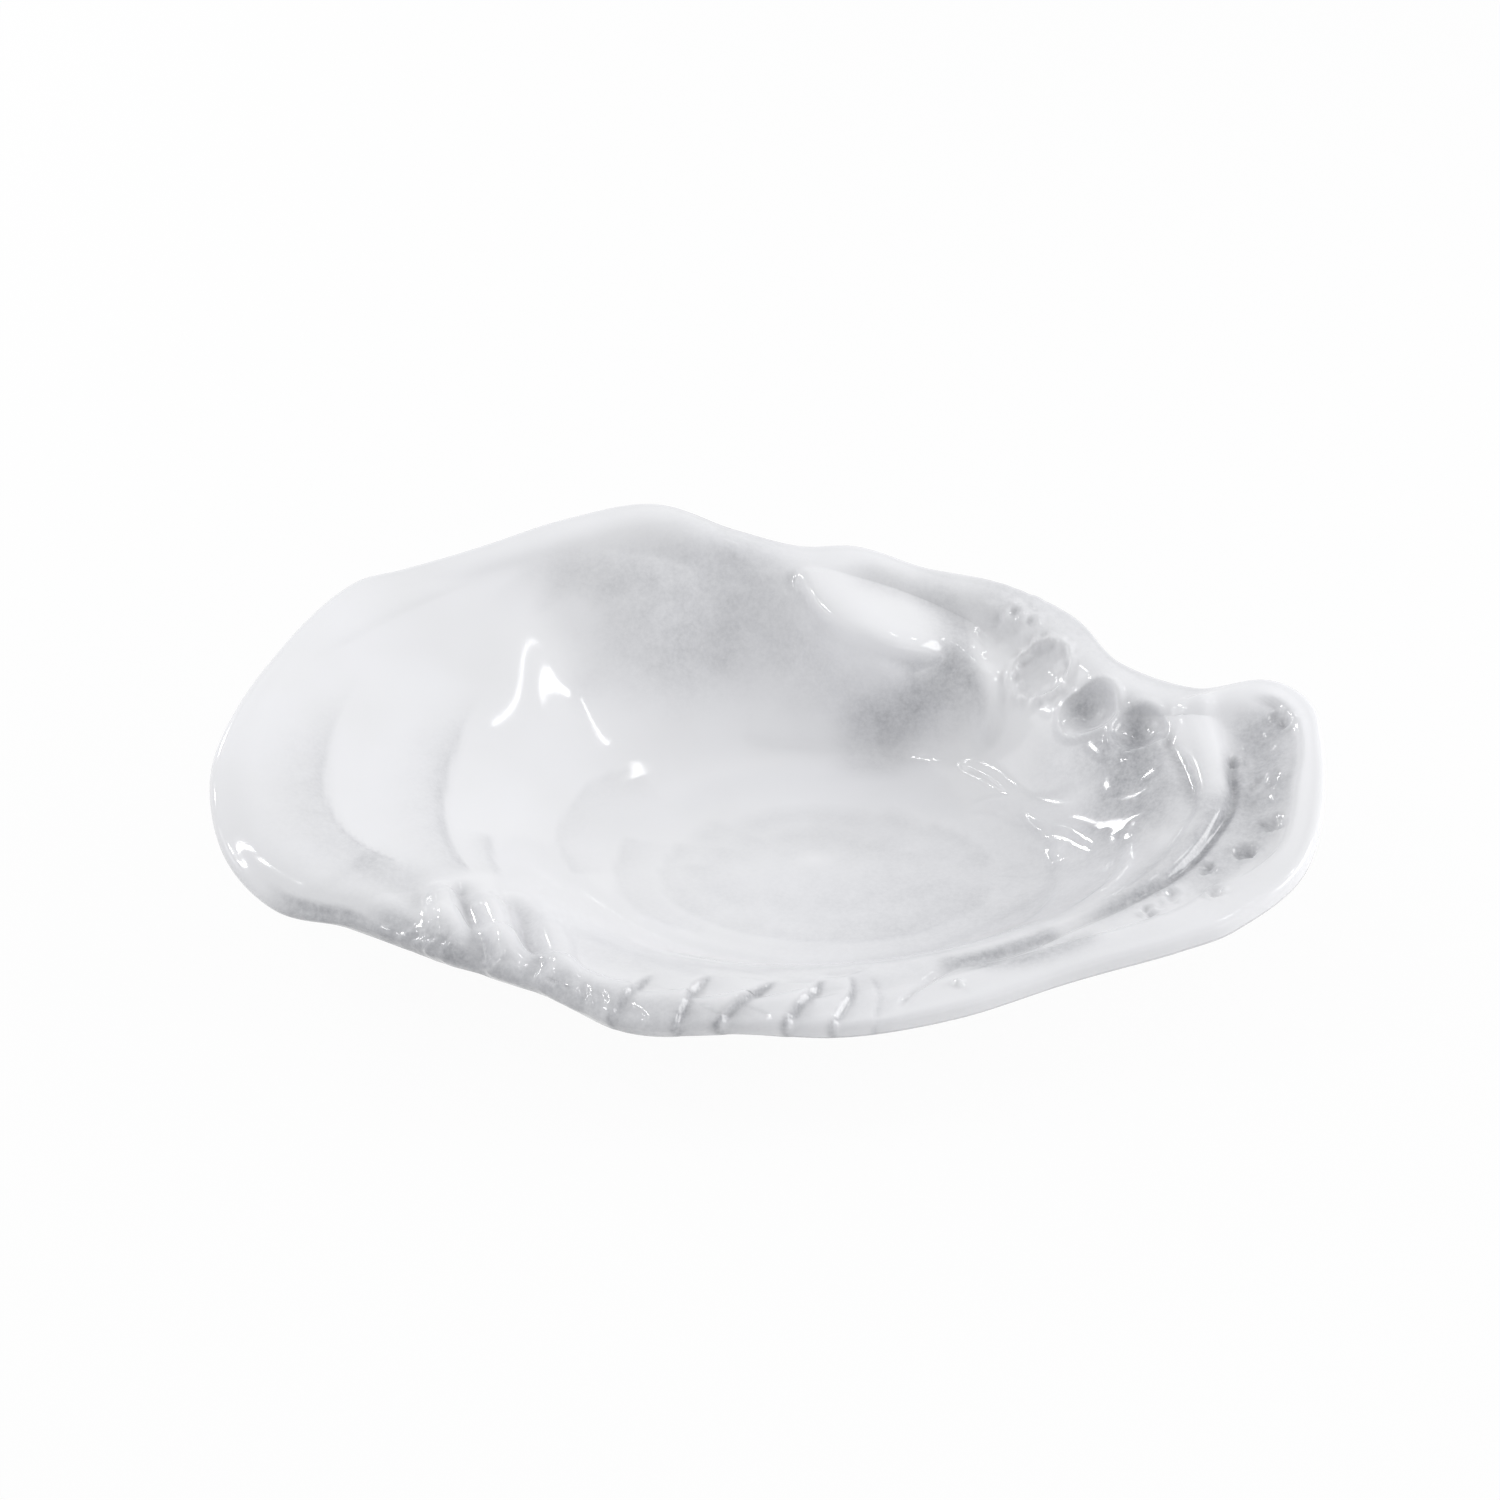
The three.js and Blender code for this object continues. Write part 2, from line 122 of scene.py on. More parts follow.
SHOULDER = [
    (102, -12, 26), (96, 10, 26), (80, 26, 22), (52, 53, 25), (19, 54, 35.5), (-10, 74, 39),
    (-50, 76, 43), (-82, 63, 34), (-95, 36, 24), (-98, 6, 19.5), (-91, -23, 18), (-76, -37, 17),
    (-44, -62, 19.5), (8, -68, 21.5), (57, -55, 23), (90, -34, 25),
]
BROW_RISE = [-0.6, -0.4, 0.3, -1.5, -0.8, 0.3, 0.3, 0, 0, 0.6, 3.4, 2.0, 1.4, 0.6, 0.3, -0.4]

# How far forms reach, in widths of a bell curve, run-outs of a layer and radii of a pit
BELL_REACH = 2.5
OVERLAP_REACH = 5
LAYER_REACH = 4
PIT_REACH = 2

# Brim of a pit, as shares of its radius
BRIM_AT = 1.06
BRIM_WIDTH = 0.15

# Waves of a rough patch: the turn and the shift from one to the next, and what their sum is divided by
WAVE_COUNT = 7
GOLDEN_TURN = 2.39996
WAVE_SHIFT = 3
WAVE_SUM = 2.6
SCAR_PITCH = 3.6

# Mesh steps: stations in each span of the rim, and rows in each span of a section
FINE_SPANS = {2, 3, 4, 20, 21, 22, 23, 24, 25, 26, 27}
MEDIUM_SPANS = {0, 1, 5, 28, 29, 30, 31}
FINE_STATIONS = 38
MEDIUM_STATIONS = 24
PLAIN_STATIONS = 10
TOP_ROWS = (6, 12, 24, 26, 14, 10)
HIDDEN_ROWS = (2, 3, 6, 6, 3, 2)
UNDER_ROWS = (6, 34, 16, 8, 4, 3)
LIP_STEPS = 12
RIM_SAMPLES = 2000


def spline(before, start, end, after, share):
    """Centripetal Catmull-Rom span from start to end: a cubic whose slopes come from knots spaced by the
    square root of the distances between the four points."""
    pairs = ((before, start), (start, end), (end, after))
    gaps = (np.linalg.norm(far - close, axis=-1, keepdims=True) for close, far in pairs)
    first, span, last = (np.maximum(gap, TINY) ** 0.5 for gap in gaps)
    slope = ((start - before) / first - (end - before) / (first + span) + (end - start) / span) * span
    next_slope = ((end - start) / span - (after - start) / (span + last) + (after - end) / last) * span
    square, cube = share ** 2, share ** 3
    kept = (2 * cube - 3 * square + 1) * start + (3 * square - 2 * cube) * end
    return kept + (cube - 2 * square + share) * slope + (cube - square) * next_slope


def ring_curve(points, places):
    """Closed spline through the points, at places from 0 to 1 round it."""
    points = np.asarray(points, float)
    count = len(points)
    span = np.floor(places * count).astype(int)
    share = (places * count - span)[:, None]
    before, start, end, after = (points[(span + step) % count] for step in (-1, 0, 1, 2))
    return spline(before, start, end, after, share)


def open_curve(points, places):
    """Open spline through the points, at places from 0 to 1 along it. Both ends run on straight."""
    points = np.asarray(points, float)
    count = len(points) - 1
    padded = np.concatenate([2 * points[:1] - points[1:2], points, 2 * points[-1:] - points[-2:-1]])
    span = np.minimum(np.floor(places * count).astype(int), count - 1)
    share = (places * count - span).reshape(-1, *[1] * (points.ndim - 1))
    return spline(padded[span], padded[span + 1], padded[span + 2], padded[span + 3], share)


def spread(counts):
    """Places from 0 to 1, end included, with the given number of steps in each equal span."""
    spans = [(span + np.arange(1, count + 1) / count) / len(counts) for span, count in enumerate(counts)]
    return np.concatenate(spans)


def station_count(span):
    """Stations in one span of the rim: more where the relief is fine."""
    if span in FINE_SPANS:
        return FINE_STATIONS
    return MEDIUM_STATIONS if span in MEDIUM_SPANS else PLAIN_STATIONS


STATIONS = spread([station_count(span) for span in range(len(RIM))]) % 1.0


def stretch():
    """Factors that bring the drawn rim to the bowl's length, width and height."""
    drawn = ring_curve(RIM, np.linspace(0, 1, RIM_SAMPLES, endpoint=False))
    reach = drawn.max(0) - drawn.min(0)
    height = PEAK_HEIGHT - WALL / 2 - FLOOR_MIDDLE
    wanted = np.array([BOWL_LENGTH - WALL, BOWL_WIDTH - WALL, height])
    return wanted / [reach[0], reach[1], drawn[:, 2].max()]


STRETCH = stretch()


def floor_oval(angle, share, rise):
    """Oval of the floor at a share of its size and a height over its middle."""
    x = share * FLOOR_HALF[0] * np.cos(angle)
    y = FLOOR_BACKSET + share * FLOOR_HALF[1] * np.sin(angle)
    return np.stack([x, y, np.full(len(angle), rise)], -1)


def wall_guides():
    """Guide points of every section of the wall's middle surface, from the middle of the floor to the rim.
    The brow lies a fixed way inside the rim, on the line to the lip, at its own height over the rim."""
    rim, lip, shoulder = (ring_curve(points, STATIONS) * STRETCH for points in (RIM, LIP, SHOULDER))
    angle = np.arctan2((shoulder[:, 1] - FLOOR_BACKSET) / FLOOR_HALF[1], shoulder[:, 0] / FLOOR_HALF[0])
    inward = lip - rim
    inset = np.minimum(BROW_INSET / np.hypot(inward[:, 0], inward[:, 1]), BROW_LIMIT)
    brow = rim + inward * inset[:, None]
    brow_places = np.arange(len(BROW_RISE) + 1) / len(BROW_RISE)
    brow[:, 2] = rim[:, 2] + np.interp(STATIONS, brow_places, BROW_RISE + BROW_RISE[:1])
    middle = floor_oval(angle, MIDDLE_SHARE, 0.0)
    flat = floor_oval(angle, FLAT_SHARE, FLAT_RISE)
    floor = floor_oval(angle, 1.0, FLOOR_RISE)
    return np.stack([middle, flat, floor, shoulder, lip, brow, rim]) + [0, 0, FLOOR_MIDDLE]


GUIDES = wall_guides()


def wall(counts):
    """Middle surface of the wall on a grid of rows and stations, with its normals and outward directions.
    The normal is the cross product of the slopes along the section and round the rim."""
    rows = spread(counts)
    nudge = 1e-3
    surface = open_curve(GUIDES, rows)
    beyond = open_curve(GUIDES, np.minimum(rows + nudge, 1))
    outward = beyond - open_curve(GUIDES, np.maximum(rows - nudge, 0))
    around = np.roll(surface, -1, 1) - np.roll(surface, 1, 1)
    normal = np.cross(outward, around)
    normal /= np.linalg.norm(normal, axis=-1, keepdims=True)
    outward -= (outward * normal).sum(-1, keepdims=True) * normal
    outward /= np.linalg.norm(outward, axis=-1, keepdims=True)
    return surface, normal, outward


def smooth(share):
    """Smooth run from 0 to 1."""
    share = np.clip(share, 0, 1)
    return share * share * (3 - 2 * share)


def beside(points, x, y, steps=48):
    """Signed distance of plan points from a smooth line, positive on its left, and the place along it."""
    line = open_curve(points, np.linspace(0, 1, steps))
    nearest = np.full(x.shape, np.inf)
    along = np.zeros(x.shape)
    side = np.ones(x.shape)
    for step, (start, end) in enumerate(zip(line[:-1], line[1:])):
        run = end - start
        share = np.clip(((x - start[0]) * run[0] + (y - start[1]) * run[1]) / (run @ run), 0, 1)
        off_x = x - start[0] - share * run[0]
        off_y = y - start[1] - share * run[1]
        distance = np.hypot(off_x, off_y)
        closer = distance < nearest
        nearest = np.where(closer, distance, nearest)
        along = np.where(closer, (step + share) / (steps - 1), along)
        side = np.where(closer, np.where(run[0] * off_y - run[1] * off_x < 0, -1, 1), side)
    return nearest * side, along


def near(points, x, y, reach):
    """Which plan points lie within reach of the line's own box."""
    low = np.min(points, 0) - reach
    high = np.max(points, 0) + reach
    return (x > low[0]) & (x < high[0]) & (y > low[1]) & (y < high[1])


def ends(along, start, end):
    """Fades in over the first share of a line and out over the last."""
    return smooth(along / start) * smooth((1 - along) / end)


def between(value, along):
    """A plain value, or one that runs smoothly from a first to a last value along the line."""
    first, last = value if isinstance(value, tuple) else (value, value)
    return first + (last - first) * smooth(along)


def ridge(points, height, width, start=0.3, end=0.3, power=2):
    """Rounded ridge along a line, or a groove where the height is negative, as a bell curve."""
    def form(x, y):
        distance, along = beside(points, x, y)
        bell = np.exp(-np.abs(distance / between(width, along)) ** power)
        return between(height, along) * bell * ends(along, start, end)
    return points, BELL_REACH * np.max(width), form


def overlap(points, height, edge, run_out, start=0.3, end=0.3):
    """Overlapping layer: the left of the line stands up and the right lies low, by a hyperbolic tangent of
    the distance, and both run out into the wall."""
    def form(x, y):
        distance, along = beside(points, x, y)
        rise = np.tanh(distance / edge) * np.exp(-np.abs(distance) / run_out)
        return between(height, along) * rise * ends(along, start, end)
    return points, OVERLAP_REACH * run_out, form


def shingle(points, height, roll, run_out, start=0.3, end=0.3):
    """Overlapping layer on the left of a line: it rises from a crisp crease by one minus an exponential of
    the distance, and runs out into the wall. The right of the line stays as it is."""
    def form(x, y):
        distance, along = beside(points, x, y)
        left = np.maximum(distance, 0)
        rise = (1 - np.exp(-left / roll)) * np.exp(-left / run_out)
        return between(height, along) * rise * ends(along, start, end)
    return points, LAYER_REACH * run_out, form


def pit(x0, y0, radius, depth, brim=0.3, power=2.0, squash=1.0):
    """Pit with a raised brim: a bowl of the given power inside the radius, and a bell curve round it. The
    squash shortens both across."""
    def form(x, y):
        share = np.hypot(x - x0, (y - y0) / squash) / radius
        ring = brim * np.exp(-((share - BRIM_AT) / BRIM_WIDTH) ** 2)
        return ring - depth * np.maximum(1 - share ** 2, 0) ** power
    return [(x0, y0)], PIT_REACH * radius, form


def lumps(points, height, width, pitch):
    """Uneven lumps along a line: waves of one pitch in several directions, under a bell curve."""
    turns = np.arange(WAVE_COUNT) * GOLDEN_TURN
    def form(x, y):
        distance, _ = beside(points, x, y)
        runs = ((x * np.cos(turn) + y * np.sin(turn), turn) for turn in turns)
        waves = sum(np.sin(2 * np.pi * run / pitch + WAVE_SHIFT * turn) for run, turn in runs)
        return height * waves / WAVE_SUM * np.exp(-(distance / width) ** 2)
    return points, BELL_REACH * width, form


def roughness(x0, y0, radius, height):
    """Rough patch round a point."""
    return lumps([(x0 - 1, y0), (x0 + 1, y0)], height, radius, SCAR_PITCH)


def streak(points, strength, width, start=0.2, end=0.2, power=2):
    """Grey along a line, for pooled glaze and painted shade: a bell curve of the distance, flatter on top
    for a higher power.
    """
    return ridge(points, strength, width, start, end, power)


def bank(points, strength, run_out, start=0.2, end=0.2):
    """Painted shade against a crisp line: full at the line, thinning to its left, nothing on its right."""
    def form(x, y):
        distance, along = beside(points, x, y)
        fall = np.exp(-np.maximum(distance, 0) / between(run_out, along))
        fall *= smooth(0.5 + distance / POOL_AND_SHADE_EDGE)
        return between(strength, along) * fall * ends(along, start, end)
    return points, LAYER_REACH * np.max(run_out), form


def pool_and_shade_spot(x0, y0, half_x, half_y, strength, power=2):
    """Grey round a point, for pooled glaze and painted shade: a bell curve of an oval's share."""
    def form(x, y):
        share = np.hypot((x - x0) / half_x, (y - y0) / half_y)
        return strength * np.exp(-share ** power)
    return [(x0, y0)], BELL_REACH * max(half_x, half_y), form


# Lines that forms share with the grey of pooled glaze and painted shade
OUTER_TERRACE = [(-106, -30), (-116, -26), (-127, -16), (-133, -2), (-134, 12), (-132, 28), (-127, 45)]
INNER_TERRACE = [(-91, -29), (-97, -19), (-101, -5), (-101, 12), (-98, 28), (-92, 46)]
SHORT_TERRACE = [(-84, -27), (-87, -16), (-88, -6)]
FIRST_DIP = [(-95, -31), (-92, -41), (-89, -52), (-87, -62), (-86, -70)]
SECOND_DIP = [(-81, -33), (-77, -45), (-75, -56), (-72, -66), (-71, -74)]
SPINE_SIDE = [(96, 31), (98, 16), (101, 3), (102, -7), (100, -18)]

# Folds of the front edge as height and line, and shares of that height for step, crease, and the painted
# shade beside the line (bank) and along it (line)
FOLDS = [
    (1.5, [(-60, -95), (-52, -85), (-48, -79), (-42, -71)]),
    (1.9, [(-40, -96), (-35, -86), (-32, -78), (-27, -71)]),
    (2.0, [(-34, -97), (-25, -88), (-19, -82), (-10, -74)]),
    (2.0, [(-13, -96), (-7, -87), (-2, -80), (1, -73)]),
    (1.6, [(0, -95), (5, -86), (8, -79), (8, -72)]),
    (0.8, [(13, -94), (14, -86), (15, -80), (13, -72)]),
]
FOLD_STEP = 0.8
FOLD_CREASE = -0.3
FOLD_SHADE_BANK = 0.14
FOLD_SHADE_LINE = 0.36

# Small scars of the right end as x, y, radius and depth, and the share of the radius that their grey takes,
# as pooled glaze and painted shade
SCARS = [
    (127, 21, 3.6, 1.2), (114, 10, 2.4, 1.0), (122, -1, 4, 0.8), (121, -18, 3.8, 2.2), (113, -28, 3.6, 2.2),
    (102, -34, 2.6, 1.4), (103, -45, 2.6, 0.9), (92, -44, 2.8, 0.8), (86, -50, 2.4, 0.9),
]
SCAR_POOL_AND_SHADE = 0.8

# Low steps of the floor: the points of an oval, and the height of each step in the order of the lines
OVAL_POINTS = 17
RING_HEIGHTS = (0.25, 0.5, 0.9, 0.8, 0.5, 0.15)


def terraces():
    """Growth lines of the left wall, each running down into the pleats of the front edge."""
    yield shingle(OUTER_TERRACE, height=2.8, roll=4, run_out=18, start=0.12, end=0.35)
    yield shingle(INNER_TERRACE, height=2.8, roll=4, run_out=18, start=0.12, end=0.3)
    yield shingle(SHORT_TERRACE, height=0.8, roll=3, run_out=8)
    yield shingle([(-143, 45), (-132, 56), (-120, 66), (-106, 73), (-92, 78)],
                  height=1.2, roll=3, run_out=12, start=0.3, end=0.4)


def pleats():
    """Three finger folds of the front left edge, with two hollows between them and one before the first."""
    yield ridge([(-100, -32), (-98, -45), (-96, -56), (-94, -66), (-93, -76)],
                height=3.0, width=4.2, start=0.2, end=0.02, power=3)
    yield ridge([(-89, -34), (-85, -46), (-82, -56), (-80, -68), (-79, -80)],
                height=2.4, width=4.0, start=0.2, end=0.02, power=3)
    yield ridge([(-73, -39), (-69, -52), (-67, -62), (-65, -82)],
                height=1.6, width=4.2, start=0.3, end=0.02, power=3)
    yield ridge([(-112, -28), (-107, -36), (-105, -46), (-104, -58)],
                height=-1.0, width=4.5, start=0.3, end=0.3)
    yield ridge(FIRST_DIP, height=-2.2, width=3.0, start=0.12, end=0.2)
    yield ridge(SECOND_DIP, height=-2.0, width=3.2, start=0.12, end=0.2)
    yield lumps([(-106, -57), (-92, -65), (-76, -73), (-58, -83)], height=0.45, width=5, pitch=4.5)


def flutes():
    """Overlapping folds of the front edge, each with a crisp drop to its right, scratches and beads."""
    for height, fold in FOLDS:
        yield overlap(fold, height=FOLD_STEP * height, edge=0.9, run_out=11, start=0.02, end=0.3)
        yield ridge(fold, height=FOLD_CREASE * height, width=0.8, start=0.02, end=0.3)
    yield ridge([(-1, -72), (6, -71), (14, -67)], height=-0.6, width=1.2, start=0.3, end=0.4)
    yield ridge([(19, -86), (22, -81), (26, -76), (32, -71), (42, -68)],
                height=-1.1, width=1.2, start=0.25, end=0.3)
    yield pit(35, -77, radius=1.9, depth=-1.4, brim=0.0)
    yield pit(57, -63, radius=1.3, depth=-0.8, brim=0.0)


def right_lip():
    """Spine, grooves, dish, raised border and small pits of the right end."""
    spine = [(104, 36), (106, 24), (107, 9), (106, -6), (102, -18),
             (95, -29), (86, -39), (74, -48), (58, -57)]
    groove = [(113, 17), (113, 6), (112, -7), (106, -20), (96, -34),
              (82, -45), (65, -55), (49, -64), (34, -68)]
    border = [(118, 30), (127, 27), (131, 19), (131, 7), (128, -6),
              (125, -20), (121, -30), (113, -38), (104, -44)]
    yield ridge(spine, height=(2.6, 1.2), width=(5.2, 2.4), start=0.06, end=0.3, power=3)
    yield ridge(SPINE_SIDE, height=-1.4, width=1.8, start=0.2, end=0.4)
    yield ridge(groove, height=(-1.7, -1.4), width=1.5, start=0.12, end=0.12)
    yield pit(120, 12, radius=10, depth=1.6, brim=0.0)
    yield pit(119, -9, radius=9, depth=1.4, brim=0.0)
    yield overlap(border[::-1], height=-1.4, edge=1.0, run_out=5, start=0.25, end=0.12)
    for x, y, radius, depth in SCARS:
        yield pit(x, y, radius=radius, depth=depth, brim=0.25, power=1.4)
        yield roughness(x, y, radius, height=0.5)


def back_wall():
    """Ledge behind the hollow, the facet under it, the corner beside it and the pits of the back edge."""
    yield overlap([(-5, 80), (-3, 72), (2, 63), (13, 54), (28, 51), (43, 56)],
                  height=2.2, edge=1.8, run_out=10, start=0.12, end=0.2)
    yield overlap([(0, 64), (-6, 60), (-12, 56), (-18, 50), (-3, 49), (11, 47), (26, 44)],
                  height=0.6, edge=1.2, run_out=10, start=0.15, end=0.3)
    yield ridge([(43, 56), (36, 51), (27, 47), (14, 45)], height=-3.0, width=5.0, start=0.2, end=0.4)
    yield ridge([(49, 56), (49, 47), (50, 38)], height=2.4, width=3.0, start=0.25, end=0.3)
    yield ridge([(-82, 80), (-74, 68), (-64, 54), (-54, 40)], height=-3.5, width=12, start=0.3, end=0.35)
    yield ridge([(-27, 84), (-25, 70), (-24, 52)], height=-3.0, width=12, start=0.3, end=0.4)
    yield pit(64.2, 50.7, radius=8.2, depth=2.2, brim=1.0, power=0.8, squash=0.82)
    yield pit(76.8, 35.6, radius=7.8, depth=4.0, brim=0.9, power=1.4, squash=0.84)
    yield pit(90, 26.3, radius=8.0, depth=4.0, brim=0.9, power=1.4, squash=0.95)
    yield pit(88, 11, radius=8, depth=1.0, brim=0.0)
    yield lumps([(48, 64), (54, 66), (60, 65)], height=0.6, width=5, pitch=4.5)
    yield lumps([(56, 52), (58.5, 56), (64, 57.5), (70, 56), (72.5, 51)],
                height=0.45, width=2.4, pitch=3.4)
    yield lumps([(56.5, 48), (60, 44.5), (65, 43.5), (70, 46)], height=0.4, width=2.2, pitch=3.4)


def ring_lines():
    """Lines of the floor's low steps: two ovals, two arcs on the right and two on the left, clockwise."""
    turn = np.linspace(0, 2 * np.pi, OVAL_POINTS)
    for x0, y0, half_x, half_y in [(-1, -5, 32, 17), (3.5, -6, 46, 28.5)]:
        yield np.stack([x0 + half_x * np.cos(turn), y0 - half_y * np.sin(turn)], -1)
    yield [(57, 20), (64, 6), (66, -8), (65, -18), (60, -29), (51, -42)]
    yield [(84, -2), (83, -14), (80, -25), (72, -36), (60, -50)]
    yield [(-30, -33), (-48, -23), (-55, -6), (-52, 10)]
    yield [(-66, -12), (-71, 4), (-63, 26), (-49, 37)]


def floor_rings():
    """Low steps of the floor, each rising outwards, and the sharp growth lines of the right wall."""
    for line, height in zip(ring_lines(), RING_HEIGHTS):
        closed = np.allclose(line[0], line[-1])
        fade = 0.01 if closed else 0.3
        yield overlap(line, height=height, edge=2.0, run_out=7, start=fade, end=fade)
    yield ridge([(41, 39), (50, 32), (57, 23), (71, 8.6)], height=0.8, width=1.0, start=0.15, end=0.2)
    yield ridge([(44, 25), (54, 23), (63, 12.5), (71, 4), (78, -9)],
                height=0.9, width=1.5, start=0.15, end=0.15)
    yield ridge([(44, 21.5), (53, 14.6), (61, 5.7), (66, -2.4), (67, -6)],
                height=0.7, width=1.0, start=0.15, end=0.15)
    for x, y in [(77, -4), (83, -8), (86, -6), (90, -8), (95, -10)]:
        yield ridge([(x - 1, y - 4), (x, y), (x + 1.2, y + 3.5)],
                    height=0.45, width=0.9, start=0.3, end=0.3)


GROUPS = (terraces, pleats, flutes, right_lip, back_wall, floor_rings)


def pools_and_painted_shade():
    """Where the glaze lies thick and turns grey, and where shade is painted in that grey: pits, grooves,
    creases, the dish, the floor's right side, the back rim and under the lip.
    """
    # grey of the dish at the right end: partly pooled glaze, partly painted shade
    yield streak([(121, 30), (122, 14), (121, 0), (118, -14), (112, -27), (102, -38), (92, -44)],
                 strength=(0.65, 0.42), width=(8.5, 5.0), start=0.1, end=0.2, power=4)
    # painted shade under and beside the pits of the right end, and inside the pits, partly pooled glaze
    # there
    yield pool_and_shade_spot(87, 14, half_x=9, half_y=8, strength=0.7, power=4)
    yield pool_and_shade_spot(86, 2, half_x=15, half_y=16, strength=0.64, power=3)
    yield pool_and_shade_spot(80, 23, half_x=8, half_y=6, strength=0.55, power=3)
    yield pool_and_shade_spot(69, 27, half_x=9, half_y=10, strength=0.2, power=3)
    yield pool_and_shade_spot(64.2, 50.7, half_x=7.4, half_y=6.2, strength=0.14, power=6)
    yield pool_and_shade_spot(76.8, 35.6, half_x=7, half_y=6, strength=0.22, power=4)
    yield pool_and_shade_spot(75.2, 39.5, half_x=5, half_y=3, strength=0.7)
    yield pool_and_shade_spot(90, 26.3, half_x=7.5, half_y=8, strength=0.42, power=4)
    yield pool_and_shade_spot(88.8, 29, half_x=3.4, half_y=5, strength=0.75)
    # painted shade on the outer side of each growth line of the left wall
    yield bank(OUTER_TERRACE, strength=(0.5, 0.2), run_out=(13, 5), start=0.2, end=0.3)
    yield bank(INNER_TERRACE, strength=(0.42, 0.3), run_out=6, start=0.12, end=0.3)
    yield bank(SHORT_TERRACE, strength=0.25, run_out=4)
    # painted shade along each low step of the floor
    for line in ring_lines():
        yield bank(line[::-1], strength=0.13, run_out=8, start=0.05, end=0.05)
    # grey in each scar: pooled glaze and painted shade
    for x, y, radius, _ in SCARS:
        yield pool_and_shade_spot(x, y, half_x=SCAR_POOL_AND_SHADE * radius, half_y=SCAR_POOL_AND_SHADE * radius, strength=0.28)
    # painted shade beside and along the drop of each fold
    for height, fold in FOLDS:
        yield bank(fold[::-1], strength=FOLD_SHADE_BANK * height, run_out=4, start=0.3, end=0.05)
        yield streak(fold, strength=FOLD_SHADE_LINE * height, width=0.9, start=0.12, end=0.15)
    # painted shade over the right side of the floor
    yield pool_and_shade_spot(42, -24, half_x=56, half_y=36, strength=0.26)
    yield streak([(-60, -62), (-30, -68), (10, -70), (45, -64)], strength=0.14, width=8)
    # painted shade before the first pleat and in the dips between the pleats
    yield streak([(-124, -28), (-115, -34), (-106, -39), (-104, -52)], strength=0.24, width=6.5)
    yield streak(FIRST_DIP, strength=0.35, width=3.5)
    yield streak(SECOND_DIP, strength=0.38, width=4)
    # painted shade beside the third pleat
    yield pool_and_shade_spot(-56, -58, half_x=14, half_y=12, strength=0.17)
    # painted shade and pooled glaze in the grooves of the front and the right end
    yield streak([(28, -69), (40, -66), (54, -60), (64, -55)], strength=0.65, width=2.6)
    yield streak([(113, 14), (113, 4), (112, -7), (106, -20), (96, -34), (82, -45), (65, -55)],
                 strength=0.8, width=2.6)
    yield streak([(110, 0), (108, -10), (104, -19), (97, -26), (89, -33), (77, -46), (64, -59)],
                 strength=(0.65, 0.2), width=4)
    yield streak([(34, -68), (48, -69), (61, -65), (74, -57)], strength=0.55, width=3)
    # painted shade along the crest and face of the back rim
    yield streak([(8, 80), (17, 77), (33, 74), (50, 68), (64, 61), (72, 53)], strength=0.22, width=5)
    yield streak([(40, 78), (54, 74), (73, 65), (85, 50), (104, 41), (114, 39)], strength=0.24, width=6)
    # painted shade beside the spine
    yield streak(SPINE_SIDE, strength=0.4, width=2.0)


def lip_pools_and_painted_shade():
    """Painted shade under the edge of the lip, and grey along the front from the left end to the flutes,
    partly pooled glaze, partly painted shade.
    """
    yield bank([(-110, -53), (-121, -47.3), (-131, -44.3), (-138, -41.5), (-146, -36)],
               strength=0.78, run_out=12, start=0.25, end=0.35)
    yield streak([(-122, -48), (-107, -56), (-94, -65), (-81, -72), (-66, -79), (-51, -85), (-36, -89),
                  (-15, -92), (7, -92)],
                 strength=(0.85, 0.3), width=6, start=0.1, end=0.3)


def back_wall_painted_shade():
    """Painted shade of the steep back wall, drawn in x and the height: the hollow and the pocket under the
    ledge.
    """
    yield streak([(48, 38), (41, 34.5), (30, 27), (22, 21), (12, 14), (2, 11)],
                 strength=0.62, width=10, start=0.15, end=0.4)
    yield pool_and_shade_spot(-31, 43, half_x=30, half_y=19, strength=0.42, power=4)
    yield pool_and_shade_spot(-62, 52, half_x=18, half_y=5, strength=0.28, power=3)
    yield pool_and_shade_spot(3, 31, half_x=15, half_y=12, strength=0.22, power=3)


def in_plan(surface):
    """Places of a surface in the plan that the lines are drawn in, before the stretch."""
    return surface[..., 0] / STRETCH[0], surface[..., 1] / STRETCH[1]


def relief(surface):
    """Height of the relief over the food side: the sum of all its forms, drawn in plan."""
    x, y = in_plan(surface)
    height = np.zeros(x.shape)
    for points, reach, form in (piece for group in GROUPS for piece in group()):
        close = near(points, x, y, reach)
        height[close] += form(x[close], y[close])
    return height


def recess(height, rounds=10):
    """How far each grid point of the relief lies under the mean round it, where glaze gathers and shade is
    painted.
    """
    mean = height
    for _ in range(rounds):
        padded = np.concatenate([mean[:1], mean, mean[-1:]])
        mean = (np.roll(mean, 1, 1) + np.roll(mean, -1, 1) + padded[:-2] + padded[2:]) / 4
    return np.maximum(mean - height, 0)


def pooling_and_painted_shade(across, along, groups):
    """Share of thick grey glaze and painted shade from 0 to 1 at places of a plane, from what each pool or
    patch of painted shade leaves clear.
    """
    clear = np.ones(across.shape)
    for points, reach, form in (piece for group in groups for piece in group()):
        close = near(points, across, along, reach)
        clear[close] *= 1 - form(across[close], along[close])
    return 1 - clear


